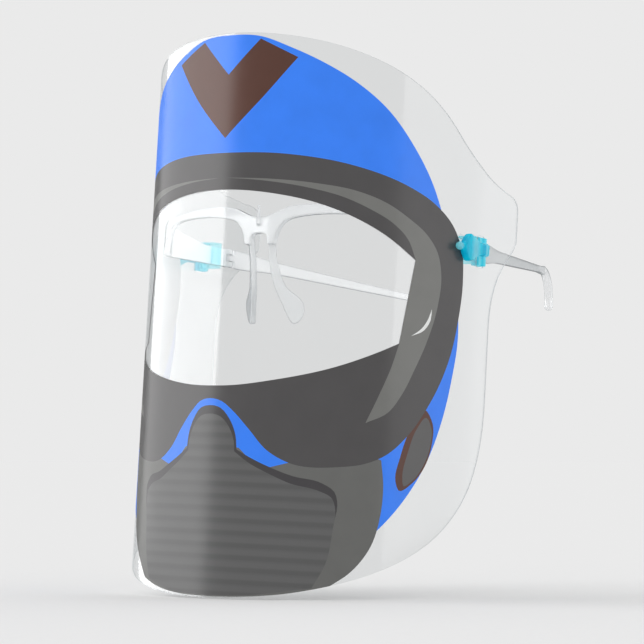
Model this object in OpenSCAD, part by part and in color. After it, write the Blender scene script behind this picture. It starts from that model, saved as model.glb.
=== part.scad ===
// Spectacle-frame face shield: a bent clear visor sheet hung on a moulded
// spectacle frame by two rubber retainers, with folding temples.
// +X is the wearer's left, -Y is forward, +Z is up.
// The origin lies midway between the two nose pads.

/* [Visor sheet] */
// Thickness of the clear sheet
sheet_t = 0.5; // [0.3:0.1:0.8]
// Radius of the bent front
front_r = 76; // [70:1:84]
// Half angle of the front arc
front_a = 53; // [45:1:60]
// Radius of the bent flanks
flank_r = 68; // [62:1:74]
// Angle at which the flanks run straight to the tabs
flank_a = 98.5; // [92:0.5:102]
// Half of the sheet's flat width, at the tabs
half_w = 158; // [150:1:166]
// Half of the flat width below the tabs
waist_w = 134; // [128:1:140]
// Height of the sheet's top above the nose pads
top_z = 106; // [98:1:114]
// Depth of the sheet's bottom below the nose pads
bottom_z = 122; // [110:1:130]
// Distance from the nose pads forward to the sheet
reach = 38; // [34:1:44]
// Slot length, front to back
slot_l = 6.3; // [5.5:0.1:8]
// Slot height
slot_h = 13; // [12:0.5:15]
// Front edge of the slot, behind the nose pads
slot_y = 38.4; // [37:0.1:40]
// Height of the slot's middle above the nose pads
slot_z = 24.6; // [23:0.1:26]

/* [Frame front] */
// Thickness of the moulded front
rim_t = 2.8; // [2.4:0.1:3.4]
// Radius of the brow bar in plan
brow_r = 140; // [120:1:160]
// Half angle of the brow arc
brow_a = 24.2; // [22:0.1:26]
// Radius of the corners towards the temples
corner_r = 16; // [12:1:20]
// Height of the end pieces
end_h = 8; // [7:0.5:9]
// Height of the end pieces at the corners
corner_h = 12.4; // [9:0.1:13]
// Height of the hinge line above the nose pads
hinge_z = 25.6; // [24:0.1:28]
// Distance from the nose pads back to the hinge pins
hinge_y = 52; // [51:0.5:54]
// Yaw of the nose legs
leg_yaw = 37; // [30:1:42]
// Backward lean of the nose legs
leg_lean = 9; // [5:0.5:12]
// Thickness of the nose legs
leg_t = 2.2; // [1.8:0.1:2.8]
// Height of the small peg that stands ahead of the bridge
peg_h = 8.2; // [6:0.2:9]
// Radius of the peg's foot
peg_r = 0.9; // [0.7:0.1:1.1]

/* [Hinges] */
// Radius of the hinge pins
pin_r = 0.9; // [0.7:0.05:1.1]
// Running clearance of the pins in the temples
pin_gap = 0.05; // [0.02:0.01:0.1]
// Radius of the hinge knuckles
knuckle_r = 2.4; // [2:0.1:2.6]
// Thickness of each hinge lug
lug_t = 2.4; // [2:0.1:2.8]
// Gap between the lugs and the temple's knuckle
lug_gap = 0.3; // [0.2:0.05:0.4]

/* [Temples] */
// Inward angle of the temples
temple_a = 18; // [10:0.5:24]
// Length from the pin to the ear bend
temple_l = 106; // [95:1:115]
// Thickness of the arms
temple_t = 3; // [2.4:0.1:3.6]
// Radius of the ear bend
hook_r = 15; // [12:1:22]
// Rise of the left arm towards the ear, per length
rise_left = 0.043; // [-0.1:0.001:0.1]
// Rise of the right arm towards the ear, per length
rise_right = -0.075; // [-0.1:0.001:0.1]
// Half height of the arm just ahead of the ear hook
arm_tip = 1.4; // [1.2:0.1:2]
// Radius of the ear hook's round section
hook_s = 1.9; // [1.6:0.1:2.4]

/* [Retainers] */
// Wall of the rubber sleeve, above and below the end piece
sleeve_w = 1.6; // [1.2:0.1:2.6]
// Wall of the rubber sleeve inside the end piece
sleeve_in = 1.4; // [1.2:0.1:3]
// Length of the rubber sleeve
sleeve_l = 5.8; // [5:0.1:9]
// Height of the block that fills the slot
block_h = 11.6; // [11:0.1:12.4]
// Half of the outer width across the two blocks
block_x = 74.9; // [74.5:0.1:76]
// Radius of the flared head
head_r = 5.7; // [5:0.1:6]
// Thickness of the flared head
head_t = 3.4; // [3:0.1:4]
// Radius of the pull bead
bead_r = 1.7; // [1.4:0.1:2.2]

/* [Hidden] */
$fn = 96;
lap_a = 0.3;
brow_y = -11;
end_x = (brow_r - corner_r) * sin(brow_a) + corner_r;
flank_c = [(front_r - flank_r) * sin(front_a), front_r - reach - (front_r - flank_r) * cos(front_a)];
flank_end = flank_c + flank_r * [sin(flank_a), -cos(flank_a)];
front_s = front_r * front_a * PI / 180;
flank_s = front_s + flank_r * (flank_a - front_a) * PI / 180;
end_top = hinge_z + end_h / 2;
end_bottom = hinge_z - end_h / 2;
corner_top = end_bottom + corner_h;

// Depth (Y) of the bent sheet's outer face at a flat distance s from its middle
function sheet_y(s) =
    s < front_s ? -reach + front_r * (1 - cos(s / front_r * 180 / PI)) :
    s < flank_s ? flank_c[1] - flank_r * cos(front_a + (s - front_s) / flank_r * 180 / PI) :
    flank_end[1] + (s - flank_s) * sin(flank_a);

// One point of a cubic curve
function cubic(p, t) =
    pow(1 - t, 3) * p[0] + 3 * t * pow(1 - t, 2) * p[1] + 3 * t * t * (1 - t) * p[2] + pow(t, 3) * p[3];

// A chain of cubic curves, each with n steps, without its last point
function chain(segments, n) = [for (p = segments) for (i = [0 : n - 1]) cubic(p, i / n)];

// The sheet's flat cutting pattern, one half, from the middle of the top to the middle of the bottom
flat_edge = concat(
    chain([
        [[0, top_z], [20, top_z], [46, top_z - 2.5], [68, top_z - 11.5]],
        [[68, top_z - 11.5], [84, top_z - 18], [94, top_z - 26], [104, top_z - 35.5]],
        [[104, top_z - 35.5], [114, top_z - 45], [126, top_z - 51], [150, top_z - 54.5]],
        [[150, top_z - 54.5], [155, top_z - 55.2], [half_w, top_z - 57], [half_w, top_z - 61]]
    ], 8),
    chain([
        [[half_w, 34], [half_w, 30], [152, 26.5], [147, 22]],
        [[147, 22], [140, 16], [waist_w, 8], [waist_w, -6]]
    ], 8),
    chain([
        [[waist_w, -36], [waist_w, -62], [122, -76], [104, -91]],
        [[104, -91], [84, -107], [48, -bottom_z], [0, -bottom_z]]
    ], 10),
    [[0, -bottom_z]]
);

// Half of the frame front seen from ahead, brow bar, bridge and leg roots
front_edge = concat(
    chain([
        [[0, 34.2], [4, 34.2], [7.5, 35.6], [11, 37.2]],
        [[11, 37.2], [16, 39.6], [28, 39.8], [40, 38.6]],
        [[40, 38.6], [50, 37.6], [58, 36.4], [65, corner_top]]
    ], 8),
    [[65, corner_top], [75, corner_top], [75, end_bottom]],
    chain([
        [[65, end_bottom], [61.5, end_bottom + 1], [59.5, 26], [58, 29.4]],
        [[58, 29.4], [56.4, 33.2], [52, 34.6], [44, 35]],
        [[44, 35], [34, 35.6], [22, 35.2], [14.5, 33.2]],
        [[14.5, 33.2], [10, 31.8], [8, 28], [7.6, 23]]
    ], 8),
    [[7.6, 23], [4.3, 23]],
    chain([[[4.3, 25], [4.2, 26.8], [2.6, 27.6], [0, 27.6]]], 8),
    [[0, 27.6]]
);

// A nose leg with its broad pad, seen square on
leg_edge = chain([
    [[6.2, 28], [6.2, 20], [8, 12], [11.5, 6]],
    [[11.5, 6], [13, 3.5], [19.5, 1.8], [19.7, -2.7]],
    [[19.7, -2.7], [19.8, -6.2], [17.8, -9.3], [15.6, -9.3]],
    [[15.6, -9.3], [13.8, -9.3], [12, -4.2], [8.3, 2.4]],
    [[8.3, 2.4], [5, 8.3], [3.4, 18], [3.4, 28]]
], 7);

// Side view of the frame front, which tapers from its corners to the hinges
side_edge = [[-40, 50], [14, 50], [14, corner_top], [35, end_top], [60, end_top], [60, end_bottom],
    [26, end_bottom], [16, end_bottom], [12, 10], [-40, 10]];

// Half the height of a temple arm at points along it, from the pin to the ear bend
arm_half = concat(
    [[knuckle_r + 0.8, 3.95]],
    chain([[[9, 3.9], [14, 3.7], [18, 2.5], [34, 2.4]]], 8),
    [[34, 2.4], [temple_l - 6, arm_tip], [temple_l, hook_s]]
);

// A flat wedge from the point [0, 0] between two angles measured from straight ahead
module wedge(a0, a1, r) {
    polygon(concat([[0, 0]], [for (i = [0 : 4]) let (a = a0 + (a1 - a0) * i / 4) r * [sin(a), -cos(a)]]));
}

// A ring sector with outer radius r and thickness t
module ring_part(r, t, a0, a1) {
    intersection() {
        difference() {
            circle(r = r, $fn = 180);
            circle(r = r - t, $fn = 180);
        }
        wedge(a0, a1, r * 1.5);
    }
}

// Plan view of the sheet's left half
module sheet_plan() {
    translate([0, front_r - reach])
        ring_part(front_r, sheet_t, 0, front_a + lap_a);
    translate(flank_c)
        ring_part(flank_r, sheet_t, front_a, flank_a);
    translate(flank_end)
        rotate(flank_a - 90)
            translate([-sheet_t, -0.2])
                square([sheet_t, half_w - flank_s + 2.2]);
}

// Rounded rectangle, lower left corner at the origin
module rounded(w, h, r) {
    translate([r, 0])
        square([w - 2 * r, h]);
    translate([0, r])
        square([w, h - 2 * r]);
    for (x = [r, w - r])
        for (y = [r, h - r])
            translate([x, y])
                circle(r = r, $fn = 32);
}

// Turns a Y-Z drawing into a solid that runs along X
module along_x(w) {
    rotate([90, 0, 90])
        linear_extrude(height = w, center = true)
            children();
}

// Turns an X-Z drawing into a solid that runs along Y
module along_y(d) {
    rotate([90, 0, 0])
        linear_extrude(height = d, center = true)
            children();
}

module both_sides() {
    children();
    mirror([1, 0, 0])
        children();
}

module visor_sheet() {
    color([0.86, 0.92, 0.97, 0.4])
        difference() {
            intersection() {
                translate([0, 0, -bottom_z - 5])
                    linear_extrude(height = top_z + bottom_z + 10)
                        both_sides()
                            sheet_plan();
                along_x(200)
                    polygon(concat([[-reach - 3, top_z]], [for (p = flat_edge) [sheet_y(p[0]), p[1]]],
                        [[-reach - 3, -bottom_z]]));
            }
            translate([0, slot_y, slot_z - slot_h / 2])
                along_x(200)
                    rounded(slot_l, slot_h, 1.2);
        }
}

// Plan view of the left half of the frame front, along its middle line
module front_plan() {
    translate([0, brow_y + brow_r])
        ring_part(brow_r + rim_t / 2, rim_t, 0, brow_a + lap_a);
    translate([end_x - corner_r, brow_y + brow_r - (brow_r - corner_r) * cos(brow_a)])
        ring_part(corner_r + rim_t / 2, rim_t, brow_a, 90);
    translate([end_x - rim_t / 2, brow_y + brow_r - (brow_r - corner_r) * cos(brow_a) - 0.2])
        square([rim_t, hinge_y - brow_y - brow_r + (brow_r - corner_r) * cos(brow_a) + 0.2]);
}

module nose_leg() {
    translate([2.2, brow_y - 2.9, 33])
        rotate([leg_lean, 0, leg_yaw])
            translate([0, 0, -33])
                along_y(leg_t)
                    polygon(leg_edge);
}

module frame_front() {
    color([0.93, 0.95, 0.96, 0.6])
        union() {
            both_sides()
                difference() {
                    union() {
                        intersection() {
                            translate([0, 0, 15])
                                linear_extrude(height = 30)
                                    front_plan();
                            translate([0, 20, 0])
                                along_y(140)
                                    polygon(front_edge);
                            along_x(200)
                                polygon(side_edge);
                        }
                        nose_leg();
                        translate([end_x, hinge_y, end_bottom])
                            cylinder(r = knuckle_r, h = end_h);
                    }
                    translate([end_x, hinge_y, end_bottom + lug_t])
                        cylinder(r = knuckle_r + 0.4, h = end_h - 2 * lug_t);
                    translate([end_x, hinge_y, end_bottom - 1])
                        cylinder(r = pin_r, h = end_h + 2);
                }
            translate([0, brow_y - rim_t / 2 - peg_r + 0.3, 31])
                cylinder(r1 = peg_r, r2 = peg_r * 0.6, h = peg_h, $fn = 32);
        }
}

module temple(rise) {
    translate([end_x, hinge_y, hinge_z])
        rotate([0, 0, temple_a])
            difference() {
                union() {
                    along_x(temple_t)
                        polygon(concat(
                            [for (p = arm_half) [p[0], rise * p[0] + p[1]]],
                            [for (i = [len(arm_half) - 1 : -1 : 0]) [arm_half[i][0], rise * arm_half[i][0] - arm_half[i][1]]]
                        ));
                    translate([0, 0, -end_h / 2 + lug_t + lug_gap])
                        cylinder(r = knuckle_r, h = end_h - 2 * lug_t - 2 * lug_gap);
                    translate([-temple_t / 2, 0, -end_h / 2 + lug_t + lug_gap])
                        cube([temple_t, knuckle_r + 1.4, end_h - 2 * lug_t - 2 * lug_gap]);
                    translate([0, temple_l, rise * temple_l - hook_r])
                        rotate([90, 0, 90])
                            rotate_extrude(angle = 90)
                                translate([hook_r, 0])
                                    circle(r = hook_s, $fn = 48);
                    translate([0, temple_l + hook_r, rise * temple_l - hook_r])
                        sphere(r = hook_s, $fn = 48);
                }
                translate([0, 0, -end_h])
                    cylinder(r = pin_r + pin_gap, h = 2 * end_h);
            }
}

module temple_left() {
    color([0.93, 0.95, 0.96, 0.6])
        temple(rise_left);
}

module temple_right() {
    color([0.93, 0.95, 0.96, 0.6])
        mirror([1, 0, 0])
            temple(rise_right);
}

module hinge_pin() {
    translate([end_x, hinge_y, end_bottom])
        cylinder(r = pin_r, h = end_h);
}

module hinge_pin_left() {
    color([0.9, 0.92, 0.93])
        hinge_pin();
}

module hinge_pin_right() {
    color([0.9, 0.92, 0.93])
        mirror([1, 0, 0])
            hinge_pin();
}

// The flared head with its bead, turned about its own axis, pointing forward from the origin
module retainer_head() {
    intersection() {
        rotate([90, 0, 0])
            rotate_extrude()
                polygon([[0, -2], [2.6, -2], [2.6, 3.4], [3.2, 4.8], [4.2, 7.4], [head_r - 0.4, 9.8], [head_r, 10.6],
                    [head_r - 0.2, 11.3], [4.5, 12.4], [2.4, 14], [1.5, 14.6], [1.2, 15.4], [1.2, 16.4], [0, 16.4]]);
        translate([-head_t / 2, -25, -10])
            cube([head_t, 30, 20]);
    }
    translate([0, -16.8, 0])
        sphere(r = bead_r, $fn = 48);
}

module retainer() {
    difference() {
        union() {
            translate([end_x - rim_t / 2 - sleeve_in, slot_y + 0.2, hinge_z - end_h / 2 - sleeve_w])
                cube([71.6 - end_x + rim_t / 2 + sleeve_in, sleeve_l, end_h + 2 * sleeve_w]);
            translate([71, slot_y + 0.35, slot_z - block_h / 2])
                cube([block_x - 71, slot_l - 0.7, block_h]);
            translate([74, slot_y + 0.4, slot_z - 1.8])
                cube([2.8, 3.8, 5.2]);
            translate([76.7, slot_y + 1, slot_z + 0.4])
                rotate([0, 0, -2])
                    retainer_head();
        }
        translate([end_x - rim_t / 2, slot_y - 10, end_bottom])
            cube([rim_t, 30, end_h]);
    }
}

module retainer_left() {
    color([0.13, 0.76, 0.92, 0.85])
        retainer();
}

module retainer_right() {
    color([0.13, 0.76, 0.92, 0.85])
        mirror([1, 0, 0])
            retainer();
}

visor_sheet();
frame_front();
temple_left();
temple_right();
hinge_pin_left();
hinge_pin_right();
retainer_left();
retainer_right();
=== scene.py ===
import math

import bmesh
import bpy
import numpy as np
from mathutils import Matrix, Vector
from mathutils.geometry import delaunay_2d_cdt


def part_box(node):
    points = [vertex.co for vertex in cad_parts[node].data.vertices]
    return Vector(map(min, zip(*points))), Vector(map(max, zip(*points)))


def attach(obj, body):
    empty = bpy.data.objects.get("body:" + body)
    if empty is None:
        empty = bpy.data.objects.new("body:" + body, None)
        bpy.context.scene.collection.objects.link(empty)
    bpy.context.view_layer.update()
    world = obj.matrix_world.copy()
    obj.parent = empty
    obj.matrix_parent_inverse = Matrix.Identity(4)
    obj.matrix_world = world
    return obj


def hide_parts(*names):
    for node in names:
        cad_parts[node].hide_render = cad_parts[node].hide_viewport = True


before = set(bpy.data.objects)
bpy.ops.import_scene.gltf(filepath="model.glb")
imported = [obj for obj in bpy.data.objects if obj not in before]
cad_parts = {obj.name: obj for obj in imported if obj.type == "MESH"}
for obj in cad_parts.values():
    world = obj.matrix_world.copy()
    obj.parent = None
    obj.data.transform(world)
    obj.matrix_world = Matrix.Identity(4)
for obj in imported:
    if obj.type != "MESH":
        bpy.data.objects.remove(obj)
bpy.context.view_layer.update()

MM = 0.001
SCENE = bpy.context.scene


# ---------------------------------------------------------------- camera, light and stage

AIM = Vector((0, 22, 0)) * MM
CAMERA_AZIMUTH = math.radians(36.86)
CAMERA_HEIGHT = math.radians(-4.85)
CAMERA_ROLL = math.radians(3.17)
CAMERA_DISTANCE = 1.2
CAMERA_PAN = math.radians(-0.36)
CAMERA_TILT = math.radians(-0.26)
CAMERA_LENS = 159.87

FLOOR_GAP = 0.0006
FLOOR_PITCH = math.radians(2)
FLOOR_RADIUS = 14
FLOOR_SEGMENTS = 128
PAPER_WHITE = 0.823
SUN_DISTANCE = 2

# Name, azimuth and height in degrees, distance, width and height in metres, radiance
SOFTBOXES = [
    ("softbox_left", -69.6, 4, 0.985, 1.46, 1.1, 5.6),
    ("softbox_right", 124, 6, 0.62, 1.29, 1.1, 1.35),
    ("softbox_top", 20, 76, 0.8, 0.7, 0.5, 2.6),
]
SOFTBOX_AIM = Vector((0, 0.04, 0))


def direction(azimuth, height):
    """Unit vector from the object's middle; azimuth 0 is ahead of the wearer, height is up."""
    level = math.cos(height)
    return Vector((math.sin(azimuth) * level, -math.cos(azimuth) * level, math.sin(height)))


def make_camera():
    back = direction(CAMERA_AZIMUTH, CAMERA_HEIGHT)
    right = Vector((math.cos(CAMERA_AZIMUTH), math.sin(CAMERA_AZIMUTH), 0))
    up = back.cross(right)
    axes = Matrix((right, up, back)).transposed()
    turn = Matrix.Rotation(CAMERA_PAN, 3, "Y") @ Matrix.Rotation(CAMERA_TILT, 3, "X")
    turn = turn @ Matrix.Rotation(CAMERA_ROLL, 3, "Z")
    data = bpy.data.cameras.new("camera")
    data.lens = CAMERA_LENS
    data.sensor_width = 36
    camera = bpy.data.objects.new("camera", data)
    camera.matrix_world = Matrix.Translation(AIM + CAMERA_DISTANCE * back) @ (axes @ turn).to_4x4()
    SCENE.collection.objects.link(camera)
    SCENE.camera = camera


def aimed(obj, place, target):
    """Puts a light in the scene, at a place and facing a target."""
    turn = (place - target).to_track_quat("Z", "Y").to_matrix().to_4x4()
    obj.matrix_world = Matrix.Translation(place) @ turn
    SCENE.collection.objects.link(obj)


def softbox(name, azimuth, height, distance, width, tall, radiance):
    """A soft panel of light that only shows in reflections."""
    data = bpy.data.lights.new(name, "AREA")
    data.shape = "RECTANGLE"
    data.size = width
    data.size_y = tall
    data.energy = radiance * math.pi * width * tall
    box = bpy.data.objects.new(name, data)
    box.visible_camera = False
    box.visible_diffuse = False
    place = SOFTBOX_AIM + distance * direction(math.radians(azimuth), math.radians(height))
    aimed(box, place, SOFTBOX_AIM)


def make_lights():
    world = bpy.data.worlds.new("studio")
    world.use_nodes = True
    paper = world.node_tree.nodes["Background"]
    paper.inputs["Color"].default_value = (PAPER_WHITE, PAPER_WHITE, PAPER_WHITE, 1)
    paper.inputs["Strength"].default_value = 1
    SCENE.world = world
    for row in SOFTBOXES:
        softbox(*row)


def sun(name, azimuth, height, strength, spread, lit, shaded_by=None):
    """A soft sun for the listed objects only.

    shaded_by lists what may shade them, and is everything if left out. A sun with such a list shows in gloss too.
    """
    data = bpy.data.lights.new(name, "SUN")
    data.energy = strength
    data.angle = math.radians(spread)
    lamp = bpy.data.objects.new(name, data)
    lamp.visible_glossy = shaded_by is not None
    groups = {"receiver_collection": lit}
    if shaded_by is not None:
        groups["blocker_collection"] = shaded_by
    for role, members in groups.items():
        group = bpy.data.collections.new(name + "_" + role)
        for member in members:
            group.objects.link(member)
        setattr(lamp.light_linking, role, group)
    place = SUN_DISTANCE * direction(math.radians(azimuth), math.radians(height))
    aimed(lamp, place, Vector((0, 0, 0)))


def make_suns(floor, visor, moulds):
    """A key for the product, a low one that lights only the floor, and two for the clear plastic's edges."""
    pins = [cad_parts["hinge_pin_left"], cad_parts["hinge_pin_right"]]
    edged = [moulds["frame_front"], moulds["temple_right"]]
    sun("key", -12, 52, 0.55, 40, [visor, *moulds.values(), *pins])
    sun("floor_key", -62, 28, 1.34, 45, [floor])
    sun("edge_left", -35, 48, 2.4, 12, edged, edged)
    sun("edge_right", 58, 40, 1.6, 12, edged, edged)


def make_floor(visor):
    """A wide pale floor, level in the picture, that the sheet's lower edge just clears."""
    right = Vector((math.cos(CAMERA_AZIMUTH), math.sin(CAMERA_AZIMUTH), 0))
    normal = Vector((0, 0, 1)) - math.tan(CAMERA_ROLL) * right
    normal += math.tan(FLOOR_PITCH) * direction(CAMERA_AZIMUTH, 0)
    normal.normalize()
    lowest = min(normal.dot(v.co) for v in visor.data.vertices) - FLOOR_GAP
    mesh = bpy.data.meshes.new("floor")
    work = bmesh.new()
    bmesh.ops.create_circle(work, cap_ends=True, segments=FLOOR_SEGMENTS, radius=FLOOR_RADIUS)
    work.to_mesh(mesh)
    work.free()
    tilt = normal.to_track_quat("Z", "Y").to_matrix().to_4x4()
    mesh.transform(Matrix.Translation(lowest * normal) @ tilt)
    floor = bpy.data.objects.new("floor", mesh)
    SCENE.collection.objects.link(floor)
    floor.data.materials.append(paper_material())
    return floor


# ---------------------------------------------------------------- material helpers

class Nodes:
    """A material's node tree with short ways to add and join nodes."""

    def __init__(self, name):
        self.material = bpy.data.materials.new(name)
        self.material.use_nodes = True
        self.tree = self.material.node_tree
        self.tree.nodes.clear()

    def add(self, kind, values=None, **settings):
        node = self.tree.nodes.new(kind)
        for key, value in settings.items():
            setattr(node, key, value)
        for key, value in (values or {}).items():
            socket = node.inputs[key]
            if isinstance(value, bpy.types.NodeSocket):
                self.tree.links.new(value, socket)
            else:
                socket.default_value = value
        return node

    def place(self):
        return self.add("ShaderNodeTexCoord").outputs["Object"]

    def noise(self, vector, scale, detail=3.0):
        node = self.add("ShaderNodeTexNoise", {"Vector": vector, "Scale": scale, "Detail": detail})
        return node.outputs["Fac"]

    def remap(self, value, low, high, from_low=0.0, from_high=1.0):
        node = self.add("ShaderNodeMapRange", {0: value, 1: from_low, 2: from_high, 3: low, 4: high})
        return node.outputs[0]

    def ramp(self, value, stops, interpolation="LINEAR"):
        node = self.add("ShaderNodeValToRGB", {"Fac": value})
        ramp = node.color_ramp
        ramp.interpolation = interpolation
        while len(ramp.elements) < len(stops):
            ramp.elements.new(0.5)
        for element, (place, colour) in zip(ramp.elements, stops):
            element.position = place
            element.color = (*colour, 1)
        return node.outputs["Color"]

    def bump(self, height, strength, distance):
        node = self.add("ShaderNodeBump", {"Height": height, "Strength": strength, "Distance": distance})
        return node.outputs["Normal"]

    def schlick(self, face_on, edge_on=1.0):
        """Share of light that a thin wall reflects, from its value seen square on to its value seen edge-on."""
        facing = self.add("ShaderNodeLayerWeight", {"Blend": 0.5}).outputs["Facing"]
        steep = self.add("ShaderNodeMath", {0: facing, 1: 5.0}, operation="POWER").outputs[0]
        return self.remap(steep, face_on, edge_on)

    def mix(self, factor, first, second):
        node = self.add("ShaderNodeMixShader", {0: factor, 1: first, 2: second})
        return node.outputs[0]

    def finish(self, surface):
        self.add("ShaderNodeOutputMaterial", {"Surface": surface})
        return self.material


def shade(colour, amount):
    return tuple(min(1.0, c * amount) for c in colour)


def paper_material():
    n = Nodes("studio_paper")
    grain = n.noise(n.place(), 400)
    colour = n.ramp(grain, [(0.3, (0.786, 0.786, 0.786)), (0.7, (0.798, 0.798, 0.798))])
    surface = n.add("ShaderNodeBsdfDiffuse", {"Color": colour, "Roughness": 0.0})
    return n.finish(surface.outputs[0])


def clear_sheet_material():
    """Thin clear PET: straight-through view, gloss by Fresnel, greyer where seen edge-on, faint smudges."""
    n = Nodes("clear_pet")
    place = n.place()
    smudge = n.noise(place, 38, 4)
    rough = n.remap(smudge, 0.07, 0.12, 0.35, 0.75)
    facing = n.add("ShaderNodeLayerWeight", {"Blend": 0.28}).outputs["Facing"]
    tint = n.ramp(facing, [(0.0, (0.917, 0.922, 0.923)), (0.55, (0.905, 0.912, 0.915)),
                           (1.0, (0.80, 0.815, 0.825))])
    through = n.add("ShaderNodeBsdfTransparent", {"Color": tint}).outputs[0]
    haze = n.add("ShaderNodeBsdfTranslucent", {"Color": (0.9, 0.92, 0.93, 1)}).outputs[0]
    body = n.mix(n.remap(smudge, 0.0, 0.03, 0.4, 0.8), through, haze)
    gloss = n.add("ShaderNodeBsdfAnisotropic", {"Color": (1, 1, 1, 1), "Roughness": rough}).outputs[0]
    return n.finish(n.mix(n.schlick(0.026, 0.32), body, gloss))


def cut_edge_material():
    """The sheet's cut rim: greyer and denser than its faces, with fine cutter lines."""
    n = Nodes("clear_pet_edge")
    lines = n.noise(n.add("ShaderNodeMapping", {"Vector": n.place(), "Scale": (1, 1, 14)}).outputs[0], 300)
    colour = n.ramp(lines, [(0.3, (0.56, 0.58, 0.59)), (0.7, (0.72, 0.74, 0.75))])
    surface = n.add("ShaderNodeBsdfPrincipled", {"Base Color": colour, "Roughness": 0.3, "IOR": 1.49,
                                                 "Normal": n.bump(lines, 0.2, 0.00005)}).outputs[0]
    through = n.add("ShaderNodeBsdfTransparent", {"Color": (0.80, 0.83, 0.84, 1)}).outputs[0]
    return n.finish(n.mix(0.6, through, surface))


def ink(name, colour, banded=None):
    """Printed ink on the sheet: slight unevenness in tone, a satin face and fine grain."""
    n = Nodes(name)
    place = n.place()
    cloud = n.noise(place, 90, 5)
    if banded is None:
        tone = n.ramp(cloud, [(0.3, shade(colour, 0.965)), (0.7, shade(colour, 1.035))])
    else:
        tone = banded(n, place, colour)
    grain = n.bump(n.noise(place, 2600, 2), 0.06, 0.00004)
    flat = n.add("ShaderNodeBsdfPrincipled", {
        "Base Color": tone, "Roughness": 0.6, "Specular IOR Level": 0.0, "Normal": grain}).outputs[0]
    rough = n.remap(cloud, 0.22, 0.27, 0.3, 0.7)
    gloss = n.add("ShaderNodeBsdfAnisotropic", {
        "Color": (1, 1, 1, 1), "Roughness": rough, "Normal": grain}).outputs[0]
    return n.finish(n.mix(n.schlick(0.023, 0.13), flat, gloss))


UNDERBASE = 0.80
SHOW_THROUGH = 0.14


def ink_back(name, colour):
    """The white base printed under an ink, seen from inside the visor: matt, with a little of the ink showing."""
    n = Nodes(name + "_back")
    place = n.place()
    cloud = n.noise(place, 120, 5)
    base = tuple(UNDERBASE * (1 - SHOW_THROUGH) + SHOW_THROUGH * c for c in colour)
    tone = n.ramp(cloud, [(0.3, shade(base, 0.97)), (0.7, shade(base, 1.02))])
    surface = n.add("ShaderNodeBsdfPrincipled", {
        "Base Color": tone, "Roughness": n.remap(cloud, 0.28, 0.4, 0.3, 0.7), "IOR": 1.4,
        "Normal": n.bump(n.noise(place, 1800, 2), 0.05, 0.00004)}).outputs[0]
    return n.finish(surface)


RIB_PITCH = 4.85
RIB_TOP = -48.5


def ribs(n, place, colour):
    """Soft horizontal ribs, lighter in their upper part."""
    z = n.add("ShaderNodeSeparateXYZ", {0: place}).outputs["Z"]
    steps = n.add("ShaderNodeMath", {0: z, 1: -1 / (RIB_PITCH * MM), 2: RIB_TOP / RIB_PITCH},
                  operation="MULTIPLY_ADD").outputs[0]
    phase = n.add("ShaderNodeMath", {0: steps}, operation="FRACT").outputs[0]
    light, middle, dark = shade(colour, 1.16), shade(colour, 1.06), shade(colour, 0.96)
    return n.ramp(phase, [(0.0, middle), (0.22, light), (0.45, light), (0.68, dark), (0.9, dark),
                          (1.0, middle)], "EASE")


def moulded_clear_material(name, share, rim, glint):
    """Clear moulded plastic that catches light, with painted shade darkening its very outline.

    share is how much of it is milky seen square on, glint the same just inside the outline, where the extra milkiness
    paints a highlight line, and rim says how far from square on the outline starts.
    """
    n = Nodes(name)
    place = n.place()
    cloud = n.noise(place, 160, 4)
    facing = n.add("ShaderNodeLayerWeight", {"Blend": 0.5}).outputs["Facing"]
    # Painted shade: the see-through tint turns dark towards the outline, in place of refraction.
    tint = n.ramp(facing, [(0.0, (0.99, 0.99, 0.99)), (rim, (0.97, 0.975, 0.98)),
                           (rim + 0.14, (0.74, 0.76, 0.77)), (rim + 0.26, (0.30, 0.32, 0.33)),
                           (1.0, (0.12, 0.13, 0.14))])
    through = n.add("ShaderNodeBsdfTransparent", {"Color": tint}).outputs[0]
    rough = n.remap(cloud, 0.06, 0.14, 0.3, 0.7)
    # Painted shade: the milky body's colour darkens towards the outline.
    tone = n.ramp(facing, [(0.0, (0.97, 0.975, 0.98)), (0.65, (0.90, 0.91, 0.92)), (0.88, (0.50, 0.52, 0.53)),
                           (1.0, (0.36, 0.37, 0.38))])
    grain = n.bump(n.noise(place, 700, 2), 0.05, 0.00005)
    skin = n.add("ShaderNodeBsdfPrincipled", {
        "Base Color": tone, "Roughness": rough, "Specular IOR Level": 0.0, "Normal": grain}).outputs[0]
    glow = n.add("ShaderNodeBsdfTranslucent", {"Color": tone}).outputs[0]
    body = n.mix(0.35, skin, glow)
    gloss = n.add("ShaderNodeBsdfAnisotropic", {"Color": (1, 1, 1, 1), "Roughness": rough}).outputs[0]
    # Painted highlight and shade: the milky share rises to glint just inside the outline, making a bright line, then
    # falls away at the outline.
    lit = n.ramp(facing, [(0.0, (share,) * 3), (0.3, (share,) * 3), (rim - 0.04, (glint,) * 3),
                          (rim + 0.1, (0.5, 0.5, 0.5)), (rim + 0.24, (0.1, 0.1, 0.1))])
    return n.finish(n.mix(n.schlick(0.05, 0.2), n.mix(lit, through, body), gloss))


RUBBER_FRONT, RUBBER_BACK = 20.0, 46.0
RUBBER_INSIDE, RUBBER_OUTSIDE = 70.0, 73.0


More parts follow.
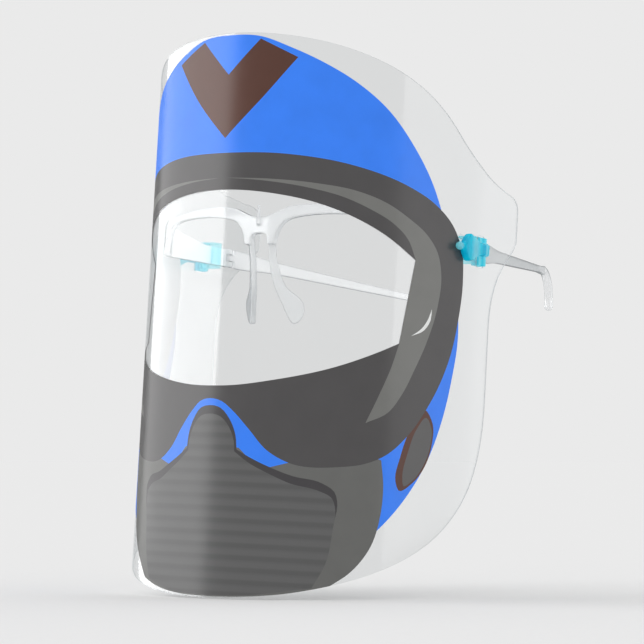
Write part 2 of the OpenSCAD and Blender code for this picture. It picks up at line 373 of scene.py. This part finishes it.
def rubber_material():
    """Teal translucent rubber with painted highlight and shade in bands from the bead back, and paler where its
    sleeve is thin.
    """
    n = Nodes("teal_rubber")
    place = n.place()
    cloud = n.noise(place, 220, 4)
    axes = n.add("ShaderNodeSeparateXYZ", {0: place})
    along = n.remap(axes.outputs["Y"], 0, 1, RUBBER_FRONT * MM, RUBBER_BACK * MM)
    # Painted highlight and shade: light, middle and dark bands along the clip stand in for the light and shade on its
    # bead, bell and plate.
    light, middle, dark = (0.45, 0.95, 0.98), (0.0, 0.72, 0.92), (0.0, 0.48, 0.74)
    tone = n.ramp(along, [(0.08, light), (0.17, middle), (0.22, dark), (0.32, middle), (0.42, light),
                          (0.48, light), (0.58, middle), (0.66, dark), (0.71, dark), (0.74, light),
                          (0.82, middle), (0.96, light)])
    side = n.add("ShaderNodeMath", {0: axes.outputs["X"]}, operation="ABSOLUTE").outputs[0]
    see_through = n.remap(side, 0.85, 0.40, RUBBER_INSIDE * MM, RUBBER_OUTSIDE * MM)
    depth = n.remap(side, 0, 1, RUBBER_INSIDE * MM, RUBBER_OUTSIDE * MM)
    stain = n.ramp(depth, [(0.0, (0.66, 0.97, 1.0)), (1.0, (0.10, 0.86, 0.95))])
    through = n.add("ShaderNodeBsdfTransparent", {"Color": stain}).outputs[0]
    glow = n.add("ShaderNodeBsdfTranslucent", {"Color": tone}).outputs[0]
    grain = n.bump(cloud, 0.08, 0.0002)
    rough = n.remap(cloud, 0.16, 0.3, 0.3, 0.7)
    skin = n.add("ShaderNodeBsdfPrincipled", {
        "Base Color": tone, "Roughness": rough, "IOR": 1.4, "Normal": grain}).outputs[0]
    return n.finish(n.mix(see_through, n.mix(0.4, skin, glow), through))


def pin_material():
    """Pale nylon hinge pin with fine turning marks."""
    n = Nodes("pin_nylon")
    turned = n.noise(n.add("ShaderNodeMapping", {"Vector": n.place(), "Scale": (1, 1, 20)}).outputs[0], 500)
    colour = n.ramp(turned, [(0.3, (0.72, 0.74, 0.75)), (0.7, (0.84, 0.86, 0.87))])
    surface = n.add("ShaderNodeBsdfPrincipled", {"Base Color": colour, "Roughness": 0.35, "IOR": 1.5,
                                                 "Normal": n.bump(turned, 0.25, 0.00005)}).outputs[0]
    return n.finish(surface)


# ---------------------------------------------------------------- the visor sheet and its print

SHEET_LOW, SHEET_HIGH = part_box("visor_sheet")
REACH = -SHEET_LOW.y / MM
TOP_Z = SHEET_HIGH.z / MM
BOTTOM_Z = SHEET_LOW.z / MM
SHEET_T = 0.5
HALF_W = 158.0
WAIST_W = 134.0
FRONT_R = 76.0
FLANK_R = 68.0
FRONT_A = math.radians(53)
FLANK_A = math.radians(98.5)
FRONT_S = FRONT_R * FRONT_A
FLANK_S = FRONT_S + FLANK_R * (FLANK_A - FRONT_A)
FRONT_C = (0.0, FRONT_R - REACH)
FLANK_C = ((FRONT_R - FLANK_R) * math.sin(FRONT_A), FRONT_C[1] - (FRONT_R - FLANK_R) * math.cos(FRONT_A))
SLOT_Y, SLOT_Z, SLOT_L, SLOT_H, SLOT_CORNER = 38.4, 18.1, 6.3, 13.0, 1.2
GRID_S, GRID_Z = 2.5, 6.0
CURVE_STEPS = 24
CORNER_STEPS = 6
CLOSEST = 1e-6
MERGE = 1e-4


def bend(s):
    """Centre, radius, angle and straight run for a flat distance s from the sheet's middle."""
    a = abs(s)
    if a < FRONT_S:
        return FRONT_C, FRONT_R, a / FRONT_R, 0.0
    if a < FLANK_S:
        return FLANK_C, FLANK_R, FRONT_A + (a - FRONT_S) / FLANK_R, 0.0
    return FLANK_C, FLANK_R, FLANK_A, a - FLANK_S


def on_sheet(s, z, depth=0.0):
    centre, radius, angle, run = bend(s)
    x = centre[0] + (radius - depth) * math.sin(angle) + run * math.cos(angle)
    y = centre[1] - (radius - depth) * math.cos(angle) + run * math.sin(angle)
    return Vector((math.copysign(x, s) if s else 0.0, y, z)) * MM


def outward(s):
    angle = bend(s)[2]
    return Vector((math.copysign(math.sin(angle), s), -math.cos(angle), 0.0))


def flank_distance(y):
    """Flat distance from the middle at which the bent flank lies y behind the nose pads."""
    return FRONT_S + FLANK_R * (math.acos((FLANK_C[1] - y) / FLANK_R) - FRONT_A)


def cubic(p, t):
    u = 1 - t
    return tuple(u ** 3 * a + 3 * t * u * u * b + 3 * t * t * u * c + t ** 3 * d for a, b, c, d in zip(*p))


def sheet_outline():
    """The flat cutting pattern, both halves, as in the CAD."""
    t, b, w, v = TOP_Z, BOTTOM_Z, HALF_W, WAIST_W
    curves = [
        [(0, t), (20, t), (46, t - 2.5), (68, t - 11.5)],
        [(68, t - 11.5), (84, t - 18), (94, t - 26), (104, t - 35.5)],
        [(104, t - 35.5), (114, t - 45), (126, t - 51), (150, t - 54.5)],
        [(150, t - 54.5), (155, t - 55.2), (w, t - 57), (w, t - 61)],
        [(w, 34), (w, 30), (152, 26.5), (147, 22)],
        [(147, 22), (140, 16), (v, 8), (v, -6)],
        [(v, -36), (v, -62), (122, -76), (104, -91)],
        [(104, -91), (84, -107), (48, b), (0, b)],
    ]
    right = [cubic(c, i / CURVE_STEPS) for c in curves for i in range(CURVE_STEPS + 1)]
    right = [p for i, p in enumerate(right) if i == 0 or math.dist(p, right[i - 1]) > CLOSEST]
    left = [(-s, z) for s, z in reversed(right[1:-1])]
    return right + left


def slot_outline(side):
    """The retainer's slot, its rounded corners drawn in the plane of Y and Z."""
    front, back = SLOT_Y + SLOT_CORNER, SLOT_Y + SLOT_L - SLOT_CORNER
    low, high = SLOT_Z + SLOT_CORNER, SLOT_Z + SLOT_H - SLOT_CORNER
    points = []
    for quarter, (y, z) in enumerate([(back, high), (front, high), (front, low), (back, low)]):
        for i in range(CORNER_STEPS + 1):
            angle = math.radians(90 * quarter + 90 / CORNER_STEPS * i)
            s = flank_distance(y + SLOT_CORNER * math.cos(angle))
            points.append((side * s, z + SLOT_CORNER * math.sin(angle)))
    return points


# How far the print's left half is drawn in toward the middle, by height above the nose pads in mm
LEFT_PULL_Z = (-120, -94, -80, -68, -45, -36)
LEFT_PULL = (0.69, 0.71, 0.73, 0.79, 0.81, 1.0)
# Flat distances from the middle, in mm, between which that fades out
LEFT_FREE_FROM, LEFT_FREE_AT = 60, 100


def mirrored(points):
    """The left-hand twin of points on the right, drawn in below the window except at the sheet's flank."""
    twins = []
    for s, z, *corner in reversed(points):
        pull = float(np.interp(z, LEFT_PULL_Z, LEFT_PULL))
        t = min(max((s - LEFT_FREE_FROM) / (LEFT_FREE_AT - LEFT_FREE_FROM), 0), 1)
        twins.append((-s * (pull + (1 - pull) * t * t * (3 - 2 * t)), z, *corner))
    return twins


def curve(points, closed=True, spacing=1.6):
    """A smooth line through the points. A third value marks a point as a corner."""
    count = len(points)
    flat = [Vector(p[:2]) for p in points]
    corner = [len(p) > 2 for p in points]
    line = []
    for i in range(count if closed else count - 1):
        j = (i + 1) % count
        a, b = flat[i], flat[j]
        length = (b - a).length

        def slope(k):
            before, here, after = flat[k - 1], flat[k], flat[(k + 1) % count]
            if corner[k] or (not closed and k in (0, count - 1)):
                return (b - a) / length
            d0, d1 = (here - before).length, (after - here).length
            return ((here - before) / d0 * d1 + (after - here) / d1 * d0) / (d0 + d1)

        ma, mb = slope(i) * length, slope(j) * length
        steps = max(2, int(length / spacing))
        for k in range(steps):
            t = k / steps
            p = ((2 * t ** 3 - 3 * t * t + 1) * a + (t ** 3 - 2 * t * t + t) * ma
                 + (-2 * t ** 3 + 3 * t * t) * b + (t ** 3 - t * t) * mb)
            line.append((p.x, p.y))
    return line


def even(half):
    """A closed outline from its right half, given from the middle at the top to the middle at the bottom."""
    return [curve(half + mirrored([p for p in half if p[0] > 0]))]


def pair(shape):
    """A closed outline on the right and its twin on the left."""
    right = curve(shape)
    return [right, mirrored(right)]


# Outlines of the print in the flat pattern, in mm: distance from the middle, height above the nose pads,
# and a 1 where the line turns a corner
HELMET = [(0, 105.2), (14, 104.3), (28, 99.5), (42, 93.5), (55, 86.5), (69, 76), (80, 63.5), (90, 49), (98, 32),
          (105, 12), (108.5, -14), (106, -29), (101.5, -46), (95, -62), (84, -79.5), (73, -92), (58, -104),
          (30, -110), (0, -112)]
GOGGLE = [(0, 57), (29, 56.3), (55, 53), (80, 46), (92, 40.5), (103, 32), (108.5, 23), (110, 11), (108, -6),
          (105, -18), (99.5, -31), (93, -42), (84, -54), (75, -62), (66, -66), (57, -67.6), (36, -67), (27, -62.5),
          (19, -54.5), (11, -47), (6, -43.6), (0, -42.4)]
WINDOW = [(0, 42), (24, 40.3), (42, 37), (56, 32.5), (70, 26), (84, 17, 1), (81.2, 0), (78.5, -17, 1), (69, -21.5),
          (50, -29), (28, -34.4), (10, -37), (0, -37.3)]
SHINE = [(2, 46.8, 1), (22, 46.2), (42, 44.8), (56, 43), (70, 38.8), (80, 33.5), (89, 27.5), (94.5, 21), (97, 12),
         (95.8, -1), (91, -16), (86, -27), (81, -37), (75, -45), (66, -49.6, 1), (71.5, -37), (75.5, -27),
         (78.5, -17, 1), (81.2, 0), (84, 17, 1), (80, 25), (73, 31), (64, 35.5), (52, 40), (38, 43), (20, 45.4)]
GLINT = [(93, -1.8, 1), (92.6, -6.5), (89.6, -10.8), (83.6, -13.6, 1), (88.6, -10), (91.4, -6)]
EAR_RIM = [(92, -42.4), (96.5, -48), (96.6, -56), (93, -66), (88, -72), (81.5, -75.5), (80, -72), (81.6, -62),
           (86, -50)]
EAR_PAD = [(93, -45.6), (96, -50), (95.8, -56.5), (92.4, -65.5), (88, -71), (83.6, -73.6), (83, -70), (85, -60),
           (88.6, -50.5)]
MASK = [(0, -60, 1), (15, -62, 1), (20, -66.2), (27, -69.6, 1), (37, -66.8, 1), (60, -60, 1), (73.4, -64, 1),
        (74.8, -74), (74.2, -86), (71, -98), (63.5, -108.5), (54, -115.6, 1), (40, -118.4), (20, -120.8), (0, -121.4)]
SEAM = [(0, -45.2), (5.5, -46.2), (10, -50.5), (13.2, -57), (14, -62.6, 1), (20, -65.6), (28.5, -69.1), (38, -72.2),
        (50, -74.5), (55, -77.6), (56.5, -83), (55.9, -87.5), (55.2, -92), (53, -106), (48, -116, 1), (20, -120.3),
        (0, -120.9)]
PANEL = [(0, -48.6), (5.5, -49.6), (10, -53.8), (12.6, -59.5), (13, -63.4, 1), (19, -67.4), (28, -71.6), (37, -75.1),
         (49.5, -77.8), (54, -80), (55.8, -85), (55.2, -92), (53, -106), (48, -116, 1), (20, -120.3), (0, -120.9)]
CHEVRON = [(0, 63, 1), (17, 79.5), (31, 95.5, 1), (14.5, 103.2, 1), (0, 89, 1)]


def inside(points, outline):
    """Which of the points lie in a closed outline."""
    x, y = points[:, 0], points[:, 1]
    result = np.zeros(len(points), bool)
    edge = np.array(outline)
    for (x0, y0), (x1, y1) in zip(edge, np.roll(edge, -1, 0)):
        if y0 == y1:
            continue
        crosses = (y0 > y) != (y1 > y)
        result ^= crosses & (x < (x1 - x0) * (y - y0) / (y1 - y0) + x0)
    return result


INKS = {
    "blue": (0.037, 0.226, 0.96), "brown": (0.095, 0.038, 0.026), "ear_grey": (0.106, 0.104, 0.104),
    "mask_grey": (0.140, 0.141, 0.135), "seam": (0.056, 0.053, 0.056), "ribbed_grey": (0.104, 0.104, 0.104),
    "charcoal": (0.077, 0.074, 0.075), "shine_grey": (0.179, 0.180, 0.171), "white": (0.80, 0.81, 0.80),
}


def make_visor():
    """One closed thin sheet. Its print is the shape of its faces: ink outside, the ink's white base inside."""
    regions = [
        (even(HELMET), "blue"), (even(CHEVRON), "brown"), (pair(EAR_RIM), "brown"), (pair(EAR_PAD), "ear_grey"),
        (even(MASK), "mask_grey"), (even(SEAM), "seam"), (even(PANEL), "ribbed_grey"),
        (even(GOGGLE), "charcoal"), (even(WINDOW), "clear"), (pair(SHINE), "shine_grey"), (pair(GLINT), "white"),
    ]
    outline = sheet_outline()
    slots = [slot_outline(1), slot_outline(-1)]
    points, edges = [], []
    for line in [outline, *slots, *(line for lines, _ in regions for line in lines)]:
        first = len(points)
        points += line
        edges += [(first + i, first + (i + 1) % len(line)) for i in range(len(line))]
    across = np.arange(-HALF_W + GRID_S / 2, HALF_W, GRID_S)
    upward = np.arange(BOTTOM_Z + GRID_Z / 2, TOP_Z, GRID_Z)
    grid = np.array([(s, z) for s in across for z in upward])
    points += [tuple(p) for p in grid[inside(grid, outline)]]
    flat, _, faces, *_ = delaunay_2d_cdt([Vector(p) for p in points], edges, [], 0, MERGE)
    flat = np.array([tuple(p) for p in flat])
    faces = np.array(faces)
    middle = flat[faces].mean(1)
    kept = inside(middle, outline) & ~inside(middle, slots[0]) & ~inside(middle, slots[1])
    faces, middle = faces[kept], middle[kept]
    a, b, c = (flat[faces[:, i]] for i in range(3))
    turned = (b[:, 0] - a[:, 0]) * (c[:, 1] - a[:, 1]) - (b[:, 1] - a[:, 1]) * (c[:, 0] - a[:, 0])
    faces[turned < 0] = faces[turned < 0][:, ::-1]
    palette = {"clear": (0, 0)}
    materials = [clear_sheet_material(), cut_edge_material()]
    for name, colour in INKS.items():
        palette[name] = (len(materials), len(materials) + 1)
        banded = ribs if name == "ribbed_grey" else None
        materials += [ink("ink_" + name, colour, banded), ink_back("ink_" + name, colour)]
    paint = np.zeros((len(faces), 2), int)
    for lines, name in regions:
        for line in lines:
            paint[inside(middle, line)] = palette[name]
    used = np.unique(faces)
    index = {int(v): i for i, v in enumerate(used)}
    outer = [on_sheet(*flat[v]) for v in used]
    inner = [on_sheet(*flat[v], SHEET_T) for v in used]
    normals = [outward(flat[v][0]) for v in used]
    count = len(used)
    polygons, slot_of, loop_normals, sides = [], [], [], {}
    for face, colour in zip(faces, paint):
        f = [index[int(v)] for v in face]
        polygons.append(f)
        loop_normals += [normals[v] for v in f]
        polygons.append([v + count for v in reversed(f)])
        loop_normals += [-normals[v] for v in reversed(f)]
        slot_of += [int(c) for c in colour]
        for i in range(3):
            e = (f[i], f[(i + 1) % 3])
            if (e[1], e[0]) in sides:
                del sides[e[1], e[0]]
            else:
                sides[e] = True
    for v, w in sides:
        polygons.append([w, v, v + count, w + count])
        slot_of.append(1)
        loop_normals += [(outer[w] - outer[v]).cross(normals[v]).normalized()] * 4
    mesh = bpy.data.meshes.new("visor")
    mesh.from_pydata(outer + inner, [], polygons)
    for material in materials:
        mesh.materials.append(material)
    mesh.polygons.foreach_set("material_index", slot_of)
    mesh.polygons.foreach_set("use_smooth", [True] * len(polygons))
    mesh.normals_split_custom_set(loop_normals)
    visor = bpy.data.objects.new("visor", mesh)
    SCENE.collection.objects.link(visor)
    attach(visor, "front")
    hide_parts("visor_sheet")
    return visor


# ---------------------------------------------------------------- moulded pieces

SAME_POINT = 1e-6
PIN_CHAMFER = 0.15
TRANSPARENT_BOUNCES = 32


def moulded(node, body, material, voxel, rounds):
    """The CAD node's shape with its edges rounded over, in place of the sharp one; voxel is in mm."""
    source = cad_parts[node]
    mesh = source.data.copy()
    work = bmesh.new()
    work.from_mesh(mesh)
    bmesh.ops.remove_doubles(work, verts=work.verts, dist=SAME_POINT)
    work.to_mesh(mesh)
    work.free()
    mesh.materials.clear()
    piece = bpy.data.objects.new(node + "_moulded", mesh)
    SCENE.collection.objects.link(piece)
    remesh = piece.modifiers.new("skin", "REMESH")
    remesh.mode = "VOXEL"
    remesh.voxel_size = voxel * MM
    remesh.use_smooth_shade = True
    relax = piece.modifiers.new("round", "SMOOTH")
    relax.factor = 0.5
    relax.iterations = rounds
    evaluated = piece.evaluated_get(bpy.context.evaluated_depsgraph_get())
    piece.data = bpy.data.meshes.new_from_object(evaluated)
    piece.modifiers.clear()
    piece.data.name = piece.name
    piece.data.materials.clear()
    piece.data.materials.append(material)
    piece.data.shade_smooth()
    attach(piece, body)
    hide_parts(node)
    return piece


def make_moulded():
    """The five moulded pieces by the name of the node each stands for, and the pins' finish."""
    front = moulded_clear_material("clear_frame", 0.5, 0.56, 0.85)
    arms = moulded_clear_material("clear_temple", 0.40, 0.64, 0.5)
    rubber = rubber_material()
    moulds = {
        "frame_front": moulded("frame_front", "front", front, 0.35, 5),
        "temple_left": moulded("temple_left", "temple_l", arms, 0.3, 5),
        "temple_right": moulded("temple_right", "temple_r", arms, 0.3, 5),
        "retainer_left": moulded("retainer_left", "front", rubber, 0.22, 12),
        "retainer_right": moulded("retainer_right", "front", rubber, 0.22, 12),
    }
    nylon = pin_material()
    for node in ("hinge_pin_left", "hinge_pin_right"):
        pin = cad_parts[node]
        pin.data.materials.clear()
        pin.data.materials.append(nylon)
        bevel = pin.modifiers.new("chamfer", "BEVEL")
        bevel.width = PIN_CHAMFER * MM
        bevel.segments = 2
        bevel.limit_method = "ANGLE"
    return moulds


SCENE.view_settings.view_transform = "Standard"
SCENE.cycles.transparent_max_bounces = TRANSPARENT_BOUNCES
make_camera()
make_lights()
product_visor = make_visor()
make_suns(make_floor(product_visor), product_visor, make_moulded())
